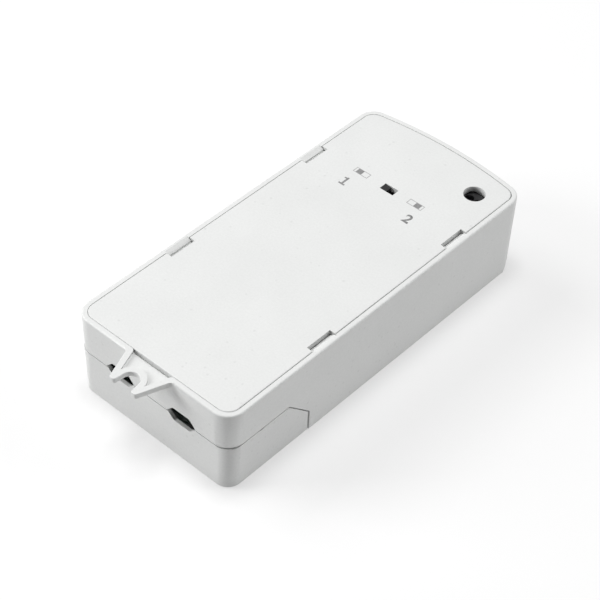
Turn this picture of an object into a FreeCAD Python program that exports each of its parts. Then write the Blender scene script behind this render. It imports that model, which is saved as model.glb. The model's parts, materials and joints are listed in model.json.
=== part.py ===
import FreeCAD, Part
import math
import os

# An infrared motion switch for a cabinet: a flat plastic box with a screw ear at its wiring end.
# Millimetres. X is the width, Y the length with the ear at -Y, and Z points out of the flush panel.
# The origin is the centre of the flat face at the bottom, which the box lies on.

# The case
body_width = 42.0
body_length = 89.6
body_height = 20.2
back_bow = 2.2
side_draft = 0.4
corner_radius = 4.0
wall = 1.8
floor_thickness = 1.8
base_rounding = 0.25
back_chamfer_depth = 3.0
back_chamfer_height = 3.4
rim_width = 1.15
rim_rounding = 0.35
panel_thickness = 1.3
panel_gap = 0.12
panel_shift = (-0.07, 0.0)
panel_rounding = 0.2
partition_thickness = 1.4

# The wiring cover, which is the lower front corner of the box
cover_length_at_parting = 16.15
cover_length_at_base = 22.2
cover_diagonal_drop = 6.1
cover_gap = 0.4
cover_diagonal_gap = 0.4
cover_inset = 0.12
cover_corner_radius = 3.2
cover_floor = 1.6
finger_notch_from_front = 9.1
finger_notch_width = 1.2
finger_notch_depth = 0.1
lip_thickness = 1.2
lip_drop = 2.6
lip_gap = 0.15
rail_height = 0.8
rail_reach = 0.5
rail_gap = 0.1
rail_drop = 1.1

# The two cable holes, cut half in the case and half in the cover
cable_hole_from_side = 12.7
cable_hole_width = 7.8
cable_hole_flat = 4.4
cable_hole_height = 3.6
cable_hole_rounding = 0.9
cable_hole_lip = 0.9
cable_pocket_margin = 1.4

# The screw ear, flush with the panel
ear_reach = 6.85
ear_base_width = 12.1
ear_tip_width = 7.0
ear_thickness = 1.25
ear_rib_width = 1.25
ear_recess = 0.6
ear_slot_width = 3.9
ear_slot_end = 2.8
ear_mouth_width = 4.4
ear_tip_rounding = 0.6
ear_root_rounding = 0.75
ear_edge_rounding = 0.15
ear_foot_rounding = 0.25
ear_flare = 0.7

# The latches that hold the panel: a window in the panel over a catch on the wall
latch_window_length = 6.5
latch_window_depth = 1.6
front_latch_from_front = 27.25
rear_latch_from_back = 22.55
catch_end_gap = 0.15
catch_depth = 0.9
catch_height = 1.55
catch_chamfer = 0.3
catch_slope_from_side = 0.65
catch_slope_drop = 0.45
catch_proud_of_rim = 0.65
latch_gap = 0.15
hook_thickness = 1.0
hook_end_gap = 0.1
barb_reach = 0.65
barb_height = 0.9

# The mode switch and its window
mode_window_length = 3.5
mode_window_width = 2.0
mode_window_from_back = 20.05
mode_window_offset = -0.3
knob_length = 1.5
knob_side_gap = 0.12
knob_end_gap = 0.06
knob_below_surface = 0.15
switch_length = 8.6
switch_width = 3.8
switch_height = 3.6
switch_sheet = 0.3
contact_room = 0.52
slider_length = 4.2
slider_height = 1.3
slider_gap = 0.08
contact_sheet = 0.35
contact_gap = 0.05
switch_pin_pitch = 2.5
switch_pin_width = 0.6

# The infrared sensor and its round hole
sensor_hole_diameter = 4.7
sensor_hole_from_side = 7.55
sensor_hole_from_back = 8.9
sensor_block_size = 4.7
sensor_below_panel = 0.5
sensor_bulb_diameter = 1.8
sensor_bulb_spacing = 2.2
sensor_bulb_gap = 0.1
sensor_bulb_recess = 0.5
collar_gap = 0.2
collar_wall = 0.7
collar_depth = 1.8

# The circuit board and what holds it
board_thickness = 1.6
board_below_panel = 4.2
parting_below_board = 1.65
board_side_gap = 0.4
board_front_gap = 5.5
lead_hole_gap = 0.1
lead_stub = 0.8
boss_diameter = 5.0
boss_pilot_diameter = 1.6
boss_pilot_depth = 7.0
board_screw_diameter = 2.0
board_screw_length = 6.5
board_screw_head_diameter = 3.6
board_screw_head_height = 1.3
screw_slot_width = 0.6
screw_slot_depth = 0.6
prop_diameter = 3.0
prop_from_side = 6.0
prop_from_front = 12.5
prop_gap = 0.1
part_gap = 0.1

# The two screw terminals, each with two poles
pole_pitch = 5.08
terminal_from_wall = 7.2
terminal_depth = 8.2
chamber_from_face = 2.0
terminal_bevel = 1.4
terminal_roof = 0.5
terminal_access_wall = 0.45
terminal_access_diameter = 2.8
chamber_gap = 0.15
clamp_side_gap = 0.1
clamp_depth = 3.2
clamp_end_wall = 0.8
clamp_side_wall = 0.4
wire_opening_height = 2.4
wire_opening_width = 3.0
bar_thickness = 0.7
bar_side_gap = 0.15
bar_end_hold = 0.7
bar_pin_width = 1.0
terminal_screw_diameter = 2.5
terminal_screw_head_diameter = 3.2
terminal_screw_head_height = 1.4
thread_gap = 0.03
thread_pitch = 0.45
screw_turns = 3.5
seat_gap = 0.05
clamp_clearance = 0.2

# What hangs under the board
relay_length = 20.0
relay_width = 10.0
relay_floor_gap = 1.2
relay_pin_diameter = 0.6
film_capacitor_size = (5.0, 10.5, 9.0)
fuse_diameter = 3.6
fuse_length = 10.0
fuse_cap_length = 2.2
fuse_cap_proud = 0.15
varistor_diameter = 7.0
varistor_thickness = 3.6
bridge_size = (4.8, 4.0, 2.5)
power_chip_size = (4.9, 3.9, 1.6)
transformer_width = 13.0
transformer_depth = 12.0
transformer_floor_gap = 0.8
transformer_leg = 3.0
bobbin_wall = 0.8
winding_fill = 0.7
input_capacitor_floor_gap = 1.6
input_capacitor_length = 12.5
output_capacitor_diameter = 6.3
output_capacitor_length = 11.0
capacitor_groove = 0.35
control_chip_size = (8.6, 3.9, 1.6)
regulator_size = (4.5, 2.5, 1.5)
transistor_size = (2.9, 1.6, 1.1)
choke_diameter = 7.8
choke_height = 8.6
choke_neck_diameter = 4.0
choke_flange = 1.2
resistor_size = (2.0, 1.25, 0.6)
resistor_count = 6
chip_leg_width = 0.4
chip_leg_reach = 0.8
lead_diameter = 0.6

# Worked out from the sizes above
half_width = body_width / 2
front_y = -body_length / 2
back_y = body_length / 2
bow_radius = (half_width ** 2 + back_bow ** 2) / (2 * back_bow)
inner_half = half_width - wall
inner_front = front_y + wall
inner_back = back_y - wall
panel_underside = body_height - panel_thickness
board_top = panel_underside - board_below_panel
board_underside = board_top - board_thickness
parting_height = board_underside - parting_below_board
cable_hole_x = half_width - cable_hole_from_side
board_front = inner_front + board_front_gap
cover_back_at_parting = front_y + cover_length_at_parting
cover_back_at_base = front_y + cover_length_at_base
partition_front = cover_back_at_base + cover_gap
partition_back = partition_front + partition_thickness
mode_window_x = mode_window_offset
mode_window_y = back_y - mode_window_from_back
sensor_x = half_width - sensor_hole_from_side
sensor_y = back_y - sensor_hole_from_back
sensor_top = panel_underside - sensor_below_panel
lead_radius = lead_diameter / 2
lead_end = board_top + lead_stub
clamp_width = terminal_screw_diameter + 2 * (clamp_side_gap + clamp_side_wall)
room_height = board_underside - floor_thickness
relay_size = (relay_length, relay_width, room_height - relay_floor_gap)
transformer_height = room_height - transformer_floor_gap
input_capacitor_diameter = room_height - input_capacitor_floor_gap - part_gap
beyond = 1.0


def vector(x, y, z):
    return FreeCAD.Vector(x, y, z)


def block(x_span, y_span, z_span):
    """A box from its low and high value along each axis."""
    size = [high - low for low, high in (x_span, y_span, z_span)]
    return Part.makeBox(size[0], size[1], size[2], vector(x_span[0], y_span[0], z_span[0]))


def around(centre, size):
    """The low and high value of a length about its centre."""
    return (centre - size / 2, centre + size / 2)


def hung(x, y, size):
    """A box of the size given, hanging under the board."""
    top = board_underside
    return block(around(x, size[0]), around(y, size[1]), (top - size[2], top))


def rod(x, y, z_span, radius):
    return Part.makeCylinder(radius, z_span[1] - z_span[0], vector(x, y, z_span[0]))


def rod_along_y(x, z, y_span, radius):
    length = y_span[1] - y_span[0]
    return Part.makeCylinder(radius, length, vector(x, y_span[0], z), vector(0, 1, 0))


def joined(shapes):
    """One solid made from overlapping or touching ones."""
    return shapes[0].multiFuse(shapes[1:]).removeSplitter()


def profile(points):
    """A face with straight sides through the points."""
    return Part.Face(Part.makePolygon(points + points[:1]))


def level_edges(shape, height):
    """The edges that lie flat at one height."""
    flat = []
    for edge in shape.Edges:
        bounds = edge.BoundBox
        if abs(bounds.ZMin - height) < 1e-4 and abs(bounds.ZMax - height) < 1e-4:
            flat.append(edge)
    return flat


def upright_edges(shape, wanted):
    """The straight vertical edges whose X and Y pass the test given."""
    found = []
    for edge in shape.Edges:
        bounds = edge.BoundBox
        if bounds.XLength < 1e-4 and bounds.YLength < 1e-4 and wanted(bounds.XMin, bounds.YMin):
            found.append(edge)
    return found


def spread(sizes, low, high):
    """The centres of things set in a row between two limits with equal gaps."""
    gap = (high - low - sum(sizes)) / (len(sizes) + 1)
    centres = []
    start = low
    for size in sizes:
        centres.append(start + gap + size / 2)
        start += gap + size
    return centres


def case_outline(inset, height):
    """The plan of the case drawn in by an inset: straight sides, a bowed back and round corners."""
    side = half_width - inset
    front = front_y + inset
    bow = bow_radius - inset
    bow_centre = back_y - bow_radius
    corner = max(corner_radius - inset, 0.5)
    corner_x = side - corner
    rear_corner_y = bow_centre + math.sqrt((bow - corner) ** 2 - corner_x ** 2)
    lean = math.atan2(rear_corner_y - bow_centre, corner_x)

    def corner_point(x_sign, centre_y, angle):
        x = x_sign * (corner_x + corner * math.cos(angle))
        return vector(x, centre_y + corner * math.sin(angle), height)

    def corner_arc(x_sign, centre_y, start, end):
        angles = (start, (start + end) / 2, end)
        return Part.Arc(*[corner_point(x_sign, centre_y, angle) for angle in angles]).toShape()

    front_corner_y = front + corner
    down = -math.pi / 2
    right_rear = corner_point(1, rear_corner_y, lean)
    left_rear = corner_point(-1, rear_corner_y, lean)
    back_middle = vector(0, bow_centre + bow, height)
    edges = [
        Part.makeLine(vector(-corner_x, front, height), vector(corner_x, front, height)),
        corner_arc(1, front_corner_y, down, 0),
        Part.makeLine(vector(side, front_corner_y, height), vector(side, rear_corner_y, height)),
        corner_arc(1, rear_corner_y, 0, lean),
        Part.Arc(right_rear, back_middle, left_rear).toShape(),
        corner_arc(-1, rear_corner_y, lean, 0),
        Part.makeLine(vector(-side, rear_corner_y, height), vector(-side, front_corner_y, height)),
        corner_arc(-1, front_corner_y, 0, down),
    ]
    return Part.Face(Part.Wire(edges))


def case_slab(inset, z_span):
    return case_outline(inset, z_span[0]).extrude(vector(0, 0, z_span[1] - z_span[0]))


def case_outside(inset, corner):
    """The whole box: upright at the front, and drawn in towards the base at the sides and the back."""
    front = front_y + inset
    side = half_width - inset
    base_side = side - side_draft
    ends = [
        vector(-base_side, front, 0),
        vector(base_side, front, 0),
        vector(side, front, body_height),
        vector(-side, front, body_height),
    ]
    box = profile(ends).extrude(vector(0, body_length, 0))
    bow = bow_radius - inset
    bow_centre = vector(0, back_y - bow_radius, 0)
    box = box.common(Part.makeCone(bow - side_draft, bow, body_height, bow_centre))
    corners = [edge for edge in box.Edges if edge.BoundBox.ZLength > body_height / 2]
    return box.makeFillet(corner, corners).common(before_chamfer(inset))


def before_chamfer(inset):
    """All that lies in front of the slope on the back's lower edge, which follows the bow."""
    slope = back_chamfer_depth / back_chamfer_height
    foot = bow_radius - side_draft - back_chamfer_depth - inset * math.sqrt(1 + slope ** 2)
    height = body_height + beyond
    bow_centre = vector(0, back_y - bow_radius, 0)
    return Part.makeCone(foot, foot + slope * height, height, bow_centre)


def cover_zone(back_shift, diagonal_shift, top):
    """The space of the wiring cover, as a side profile run across the whole width."""
    x = -half_width - beyond
    low_y = cover_back_at_base + back_shift
    slope = cover_diagonal_drop / (cover_length_at_base - cover_length_at_parting)
    parting_y = cover_back_at_parting + diagonal_shift + (parting_height - top) / slope
    foot_z = top - slope * (low_y - parting_y)
    points = [
        vector(x, front_y - beyond, -beyond),
        vector(x, low_y, -beyond),
        vector(x, low_y, foot_z),
        vector(x, parting_y, top),
        vector(x, front_y - beyond, top),
    ]
    return profile(points).extrude(vector(body_width + 2 * beyond, 0, 0))


def cable_holes():
    """Two flat six-sided holes through the front wall, centred on the parting line and thinned behind."""
    holes = []
    y = front_y - beyond
    for side in (-1, 1):
        x = side * cable_hole_x
        half = cable_hole_width / 2
        flat = cable_hole_flat / 2
        high = parting_height + cable_hole_height / 2
        low = parting_height - cable_hole_height / 2
        points = [
            vector(x - half, y, parting_height),
            vector(x - flat, y, high),
            vector(x + flat, y, high),
            vector(x + half, y, parting_height),
            vector(x + flat, y, low),
            vector(x - flat, y, low),
        ]
        hole = profile(points).extrude(vector(0, wall + 2 * beyond, 0))
        corners = [edge for edge in hole.Edges if edge.BoundBox.YLength > wall]
        blunt = [edge for edge in corners if abs(edge.BoundBox.ZMin - parting_height) > flat / 2]
        hole = hole.makeFillet(cable_hole_rounding, blunt)
        pocket_x = around(x, cable_hole_width + 2 * cable_pocket_margin)
        pocket_y = (front_y + cable_hole_lip, front_y + wall + beyond)
        pocket_z = around(parting_height, cable_hole_height + 2 * cable_pocket_margin)
        pocket = block(pocket_x, pocket_y, pocket_z)
        holes.append(joined([hole, pocket]))
    return holes


def latch_places():
    """Side and Y of the four latches."""
    ys = (front_y + front_latch_from_front, back_y - rear_latch_from_back)
    return [(side, y) for side in (-1, 1) for y in ys]


def mirrored_span(side, near, far):
    """An X span on the side given, from its distances to the middle."""
    return (near, far) if side > 0 else (-far, -near)


def window_inner_x():
    return half_width - rim_width - latch_window_depth


def ear_plate():
    """The ear's plan: a trapezoid with a round-ended slot open to the front."""
    low = body_height - ear_thickness
    tip_y = front_y - ear_reach
    root_y = front_y + rim_width
    base = ear_base_width / 2
    tip = ear_tip_width / 2
    points = [
        vector(-base, root_y, low),
        vector(-base, front_y, low),
        vector(-tip, tip_y, low),
        vector(tip, tip_y, low),
        vector(base, front_y, low),
        vector(base, root_y, low),
    ]
    plate = profile(points).extrude(vector(0, 0, ear_thickness))
    radius = ear_slot_width / 2
    slot_y = front_y - ear_slot_end - radius
    mouth_y = tip_y - beyond
    mouth_at_tip = ear_mouth_width / 2
    mouth = radius + (mouth_at_tip - radius) * (slot_y - mouth_y) / (slot_y - tip_y)
    flare = [
        vector(-radius, slot_y, low - beyond),
        vector(-mouth, mouth_y, low - beyond),
        vector(mouth, mouth_y, low - beyond),
        vector(radius, slot_y, low - beyond),
    ]
    height = ear_thickness + 2 * beyond
    slot = joined([
        rod(0, slot_y, (low - beyond, body_height + beyond), radius),
        profile(flare).extrude(vector(0, 0, height)),
    ])
    plate = plate.cut(slot)
    tips = upright_edges(plate, lambda x, y: abs(y - tip_y) < 1e-4)
    rounding = min(ear_tip_rounding, 0.45 * (tip - mouth_at_tip))
    plate = plate.makeFillet(rounding, tips)
    rims = level_edges(plate, body_height) + level_edges(plate, low)
    soft = [edge for edge in rims if edge.BoundBox.YMin < front_y - ear_slot_end / 2]
    return plate.makeFillet(ear_edge_rounding, soft)


def ear_flares():
    """The hollow roundings where the ear's sides run into the front face."""
    lean = math.atan2((ear_base_width - ear_tip_width) / 2, ear_reach)
    base = ear_base_width / 2
    low = body_height - ear_thickness
    inside = front_y + rim_width / 2
    centre_x = base + ear_flare * (1 - math.sin(lean)) / math.cos(lean)
    centre_y = front_y - ear_flare
    touch_x = centre_x - ear_flare * math.cos(lean)
    touch_y = centre_y + ear_flare * math.sin(lean)
    plan = [
        (base - ear_rib_width / 2, inside),
        (centre_x, inside),
        (centre_x, centre_y),
        (touch_x, touch_y),
        (touch_x - ear_rib_width / 2, touch_y),
    ]
    flares = []
    for side in (-1, 1):
        points = [vector(side * x, y, low) for x, y in plan]
        flare = profile(points).extrude(vector(0, 0, ear_thickness))
        round_space = rod(side * centre_x, centre_y, (low - beyond, body_height + beyond), ear_flare)
        flares.append(flare.cut(round_space))
    return flares


def ear_hollow():
    """The sunk web between the ear's border and the raised ring round its slot."""
    low = body_height - ear_recess
    radius = ear_slot_width / 2
    slot_y = front_y - ear_slot_end - radius
    slope = (ear_base_width - ear_tip_width) / 2 / ear_reach
    rib_along_x = ear_rib_width * math.sqrt(1 + slope ** 2)
    panel_edge = front_y + rim_width + panel_gap
    base = ear_base_width / 2 - rib_along_x + slope * (panel_edge - front_y)
    end = base - slope * (panel_edge - slot_y)
    points = [
        vector(-base, panel_edge, low),
        vector(-end, slot_y, low),
        vector(end, slot_y, low),
        vector(base, panel_edge, low),
    ]
    hollow = profile(points).extrude(vector(0, 0, ear_recess + beyond))
    feet = [edge for edge in level_edges(hollow, low) if edge.BoundBox.YLength > ear_recess]
    hollow = hollow.makeFillet(ear_foot_rounding, feet)
    ring = rod(0, slot_y, (low - beyond, body_height + 2 * beyond), radius + ear_rib_width)
    return hollow.cut(ring)


def latch_prisms(outline):
    """One outline of distances to the middle and heights, run along each latch window."""
    length = latch_window_length - 2 * catch_end_gap
    prisms = []
    for side, y in latch_places():
        points = [vector(side * x, y - length / 2, z) for x, z in outline]
        prisms.append(profile(points).extrude(vector(0, length, 0)))
    return prisms


def catch_slope():
    """The sloped top of a catch: its inner and outer ends, each a distance to the middle and a height."""
    inner = half_width - rim_width - catch_proud_of_rim
    return (inner, body_height - catch_slope_drop), (half_width - catch_slope_from_side, body_height)


def catches():
    """Ledges in the panel's windows, that its hooks go under, with blocks that slope up to the rim."""
    top = body_height - catch_depth
    near = window_inner_x() + latch_gap
    inner_end, outer_end = catch_slope()
    return latch_prisms([
        (outer_end[0], top - catch_height),
        (near, top - catch_height),
        (near, top - catch_chamfer),
        (near + catch_chamfer, top),
        (inner_end[0], top),
        inner_end,
        outer_end,
    ])


def rim_slopes():
    """What the catches' slopes take off the rim."""
    inner_end, outer_end = catch_slope()
    above = body_height + beyond
    return latch_prisms([inner_end, outer_end, (outer_end[0], above), (inner_end[0], above)])


def lips():
    """Inner strips of the side walls that stand inside the cover and carry its rails."""
    pieces = []
    low = parting_height - lip_drop
    y_span = (inner_front + lip_gap, cover_back_at_parting - lip_gap)
    groove_z = around(low + rail_drop, rail_height + 2 * rail_gap)
    for side in (-1, 1):
        x_span = mirrored_span(side, inner_half - lip_thickness, inner_half)
        root = mirrored_span(side, inner_half - lip_thickness, inner_half + wall / 2)
        strip = block(x_span, y_span, (low, board_underside))
        bridge = block(root, y_span, (parting_height, board_underside))
        groove_x = mirrored_span(side, inner_half - rail_reach + lip_gap - rail_gap, inner_half + beyond)
        groove = block(groove_x, (y_span[0] - beyond, y_span[1] + beyond), groove_z)
        pieces.append(joined([strip.cut(groove), bridge]))
    return pieces


def row_places():
    """The Y of each row of things under the board, from the partition to the sensor."""
    depths = [
        boss_diameter,
        film_capacitor_size[1],
        input_capacitor_length,
        boss_diameter,
    ]
    names = ["front_bosses", "power", "supply", "rear_bosses"]
    limit = sensor_y - sensor_block_size / 2
    return dict(zip(names, spread(depths, partition_back, limit)))


def boss_places():
    rows = row_places()
    x = inner_half - boss_diameter / 2 - board_side_gap
    return [(side * x, rows[row]) for side in (-1, 1) for row in ("front_bosses", "rear_bosses")]


def housing():
    """The main shell: floor, walls, rim, ear, partition, bosses and catches."""
    outer = case_outside(0, corner_radius)
    outer = outer.makeFillet(base_rounding, level_edges(outer, 0))
    outer = outer.makeFillet(rim_rounding, level_edges(outer, body_height))
    room = case_slab(wall, (floor_thickness, body_height + beyond))
    shell = outer.cut(room.common(before_chamfer(wall)))
    shell = shell.cut(case_slab(rim_width, (panel_underside, body_height + beyond)))
    shell = shell.cut(cover_zone(cover_gap, cover_diagonal_gap, parting_height))
    shell = shell.fuse(ear_plate())
    shell = shell.cut(ear_hollow())
    roots = upright_edges(shell, lambda x, y: abs(x) < half_width / 2 and abs(y - front_y - rim_width) < 1e-4)
    shell = shell.makeFillet(min(ear_root_rounding, 0.95 * (rim_width - rim_rounding)), roots)
    shell = shell.cut(Part.makeCompound(rim_slopes()))
    inside = mirrored_span(1, -inner_half - wall / 2, inner_half + wall / 2)
    partition = block(inside, (partition_front, partition_back), (floor_thickness / 2, board_underside))
    shell = joined([shell, partition] + catches() + lips() + ear_flares())
    for x, y in boss_places():
        boss = rod(x, y, (floor_thickness / 2, board_underside), boss_diameter / 2)
        rib_x = mirrored_span(1 if x > 0 else -1, abs(x), inner_half + wall / 2)
        rib = block(rib_x, around(y, wall / 2), (floor_thickness / 2, board_underside))
        pilot = rod(x, y, (board_underside - boss_pilot_depth, board_underside), boss_pilot_diameter / 2)
        shell = joined([shell, boss, rib]).cut(pilot)
    return shell.cut(Part.makeCompound(cable_holes()))


def top_panel():
    """The flush panel with its windows, hooks, sensor collar and board props."""
    panel = case_slab(rim_width + panel_gap, (panel_underside, body_height))
    panel = panel.makeFillet(panel_rounding, level_edges(panel, body_height))
    panel.translate(vector(panel_shift[0], panel_shift[1], 0))
    through = (panel_underside - beyond, body_height + beyond)
    cuts = [rod(sensor_x, sensor_y, through, sensor_hole_diameter / 2)]
    window_x = around(mode_window_x, mode_window_length)
    cuts.append(block(window_x, around(mode_window_y, mode_window_width), through))
    for side, y in latch_places():
        window = mirrored_span(side, window_inner_x(), half_width)
        cuts.append(block(window, around(y, latch_window_length), through))
    panel = panel.cut(Part.makeCompound(cuts))
    return joined([panel, collar()] + hooks() + props())


def hooks():
    """Snap arms under the panel, each with a barb that goes under a catch."""
    arms = []
    barb_top = body_height - catch_depth - catch_height - latch_gap
    barb_low = barb_top - barb_height
    outer = window_inner_x()
    length = latch_window_length - 2 * hook_end_gap
    for side, y in latch_places():
        points = [
            vector(side * (outer - hook_thickness), y - length / 2, panel_underside),
            vector(side * (outer - hook_thickness), y - length / 2, barb_low),
            vector(side * outer, y - length / 2, barb_low),
            vector(side * (outer + barb_reach), y - length / 2, barb_top),
            vector(side * outer, y - length / 2, barb_top),
            vector(side * outer, y - length / 2, panel_underside),
        ]
        arms.append(profile(points).extrude(vector(0, length, 0)))
    return arms


def collar():
    """A square socket under the panel that keeps stray light off the sensor."""
    inner = sensor_block_size + 2 * collar_gap
    outer = inner + 2 * collar_wall
    z_span = (panel_underside - collar_depth, panel_underside)
    ring = block(around(sensor_x, outer), around(sensor_y, outer), z_span)
    return ring.cut(block(around(sensor_x, inner), around(sensor_y, inner), z_span))


def props():
    """Two pegs that keep the front of the board down when a terminal screw is driven."""
    z_span = (board_top + prop_gap, panel_underside)
    y = front_y + prop_from_front
    x = half_width - prop_from_side
    return [rod(side * x, y, z_span, prop_diameter / 2) for side in (-1, 1)]


def wiring_cover():
    """The lower front shell that slides off towards the cables."""
    outer = case_outside(cover_inset, cover_corner_radius)
    outer = outer.makeFillet(base_rounding, level_edges(outer, 0))
    shell = outer.common(cover_zone(0, 0, parting_height - cover_gap))
    inner = inner_half + lip_gap
    room = (cover_floor, body_height)
    shell = shell.cut(block((-inner, inner), (inner_front, back_y), room))
    rails = []
    rail_z = around(parting_height - lip_drop + rail_drop, rail_height)
    rail_y = (inner_front + corner_radius / 2, cover_back_at_parting - 2 * lip_gap)
    for side in (-1, 1):
        rail_x = mirrored_span(side, inner - rail_reach, inner + wall / 4)
        rails.append(block(rail_x, rail_y, rail_z))
    notch_y = around(front_y + finger_notch_from_front, finger_notch_width)
    notch_z = (parting_height - cover_gap - finger_notch_depth, parting_height)
    notch_x = half_width - wall / 3
    notches = [block(mirrored_span(side, notch_x, half_width), notch_y, notch_z) for side in (-1, 1)]
    shell = joined([shell] + rails)
    return shell.cut(Part.makeCompound(cable_holes() + notches))


def screw_driven_down(x, y, seat, sizes):
    """A screw whose slotted head sits on a face and whose shank points down."""
    diameter, length, head_diameter, head_height = sizes
    head = rod(x, y, (seat, seat + head_height), head_diameter / 2)
    shank = rod(x, y, (seat - length, seat), diameter / 2)
    reach = head_diameter
    slot_z = (seat + head_height - screw_slot_depth, seat + head_height + beyond)
    slot = block(around(x, reach), around(y, screw_slot_width), slot_z)
    return joined([head, shank]).cut(slot)


def board_screws():
    """Four screws through the board into the bosses, each a press fit in its pilot hole."""
    sizes = (boss_pilot_diameter, board_screw_length, board_screw_head_diameter, board_screw_head_height)
    return Part.makeCompound([screw_driven_down(x, y, board_top, sizes) for x, y in boss_places()])


def pole_places():
    """X of the four poles with the side of the box that each is on, from left to right."""
    return [
        block_side * cable_hole_x + pole * pole_pitch / 2
        for block_side in (-1, 1)
        for pole in (-1, 1)
    ]


def terminal_levels():
    """The heights inside a terminal, from the board down to the screw's access hole."""
    level = {}
    level["chamber_top"] = board_underside - terminal_roof
    level["clamp_top"] = level["chamber_top"] - seat_gap
    level["opening_top"] = level["clamp_top"] - clamp_end_wall
    level["bar_top"] = level["opening_top"] - wire_opening_height
    level["bar_low"] = level["bar_top"] - bar_thickness
    level["nut_top"] = level["bar_low"] - clamp_clearance
    level["clamp_low"] = level["nut_top"] - clamp_end_wall
    level["head_top"] = level["clamp_low"] - thread_pitch * screw_turns - clamp_clearance
    level["head_low"] = level["head_top"] - terminal_screw_head_height
    level["chamber_low"] = level["head_low"] - seat_gap
    level["block_low"] = level["chamber_low"] - terminal_access_wall
    return level


def terminal_y():
    """The front face, the chamber's middle and the back face of the terminals."""
    front = inner_front + terminal_from_wall
    middle = front + chamber_from_face + chamber_gap + clamp_depth / 2
    return (front, middle, front + terminal_depth)


def bar_span_y():
    middle = terminal_y()[1]
    half = clamp_depth / 2 + chamber_gap + bar_end_hold
    return (middle - half, middle + half)


def contact_bar(x, gap):
    """A flat bar through the clamp, turned up at its back end into a pin through the board."""
    level = terminal_levels()
    y_low, y_high = bar_span_y()
    bar_width = clamp_width - 2 * clamp_side_wall - 2 * bar_side_gap
    bar_x = around(x, bar_width + 2 * gap)
    pin_x = around(x, bar_pin_width + 2 * gap)
    flat = block(bar_x, (y_low, y_high), (level["bar_low"], level["bar_top"]))
    pin_y = (y_high - bar_thickness - gap, y_high + gap)
    pin = block(pin_x, pin_y, (level["bar_low"], lead_end))
    return joined([flat, pin])


def terminal_body(side):
    """The moulded block of one terminal, with its chambers, wire entries and screw access holes."""
    level = terminal_levels()
    front, middle, back = terminal_y()
    x = side * cable_hole_x
    width = 2 * pole_pitch
    body = block(around(x, width), (front, back), (level["block_low"], board_underside))
    bevel = [
        vector(x - width, front, level["block_low"]),
        vector(x - width, front + terminal_bevel, level["block_low"]),
        vector(x - width, front, level["block_low"] + terminal_bevel),
    ]
    cuts = [profile(bevel).extrude(vector(2 * width, 0, 0))]
    for pole in (-1, 1):
        pole_x = x + pole * pole_pitch / 2
        chamber_x = around(pole_x, clamp_width + 2 * chamber_gap)
        chamber_y = around(middle, clamp_depth + 2 * chamber_gap)
        cuts.append(block(chamber_x, chamber_y, (level["chamber_low"], level["chamber_top"])))
        entry_z = (level["bar_top"], level["opening_top"])
        cuts.append(block(around(pole_x, wire_opening_width), (front - beyond, middle), entry_z))
        access = (level["block_low"] - beyond, level["chamber_low"] + beyond / 2)
        cuts.append(rod(pole_x, middle, access, terminal_access_diameter / 2))
        cuts.append(contact_bar(pole_x, 0))
    return body.cut(Part.makeCompound(cuts))


def contact_bars(side):
    x = side * cable_hole_x
    return Part.makeCompound([contact_bar(x + pole * pole_pitch / 2, 0) for pole in (-1, 1)])


def terminal_screw(x):
    """A screw whose slotted head points down and whose tip bears on the bar above it."""
    level = terminal_levels()
    y = terminal_y()[1]
    head = rod(x, y, (level["head_low"], level["head_top"]), terminal_screw_head_diameter / 2)
    tip = level["bar_low"] - seat_gap
    shank = rod(x, y, (level["head_top"], tip), terminal_screw_diameter / 2)
    slot_z = (level["head_low"] - beyond, level["head_low"] + screw_slot_depth)
    slot = block(around(x, terminal_screw_head_diameter), around(y, screw_slot_width), slot_z)
    return joined([head, shank]).cut(slot)


def wire_clamp(x):
    """The cage that the screw draws down, so that it pulls the wire against the bar."""
    level = terminal_levels()
    y = terminal_y()[1]
    outer_z = (level["clamp_low"], level["clamp_top"])
    cage = block(around(x, clamp_width), around(y, clamp_depth), outer_z)
    room_x = around(x, terminal_screw_diameter + 2 * clamp_side_gap)
    room_y = around(y, clamp_depth + 2 * beyond)
    room = block(room_x, room_y, (level["nut_top"], level["opening_top"]))
    bore_z = (level["clamp_low"] - beyond, level["nut_top"] + beyond)
    bore = rod(x, y, bore_z, terminal_screw_diameter / 2 + thread_gap)
    return cage.cut(room).cut(bore)


def knob_x():
    """The knob's middle at rest, at the -X end of its window."""
    return mode_window_x - mode_window_length / 2 + knob_end_gap + knob_length / 2


def switch_levels():
    level = {}
    level["top"] = board_top + switch_height
    level["slider_top"] = level["top"] - switch_sheet - slider_gap
    level["slider_low"] = level["slider_top"] - slider_height
    level["base_top"] = level["slider_low"] - contact_room
    level["pad"] = level["base_top"] + contact_gap
    return level


def mode_switch_base():
    """The moulded floor of the slide switch, with a hole for each pin."""
    x_span = around(mode_window_x, switch_length - 2 * switch_sheet)
    y_span = around(mode_window_y, switch_width - 2 * switch_sheet)
    base = block(x_span, y_span, (board_top, switch_levels()["base_top"]))
    return base.cut(mode_switch_pins())


def mode_switch_frame():
    """The folded metal cover of the slide switch, with the slot that its knob runs in."""
    top = switch_levels()["top"]
    length = switch_length
    outer = block(around(mode_window_x, length), around(mode_window_y, switch_width), (board_top, top))
    room_x = around(mode_window_x, length - 2 * switch_sheet)
    room_y = around(mode_window_y, switch_width - 2 * switch_sheet)
    room = block(room_x, room_y, (board_top - beyond, top - switch_sheet))
    slot_x = around(mode_window_x, mode_window_length + 2 * knob_side_gap)
    slot_y = around(mode_window_y, mode_window_width + knob_side_gap)
    slot = block(slot_x, slot_y, (board_top, top + beyond))
    return outer.cut(room).cut(slot)


def mode_switch_pins():
    """Three flat pins from the switch's contact pads down through the board."""
    pins = []
    low = board_underside - lead_stub
    for place in (-1, 0, 1):
        x = mode_window_x + place * switch_pin_pitch
        x_span = around(x, switch_pin_width)
        y_span = around(mode_window_y, switch_pin_width)
        pins.append(block(x_span, y_span, (low, switch_levels()["base_top"])))
    return Part.makeCompound(pins)


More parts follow.
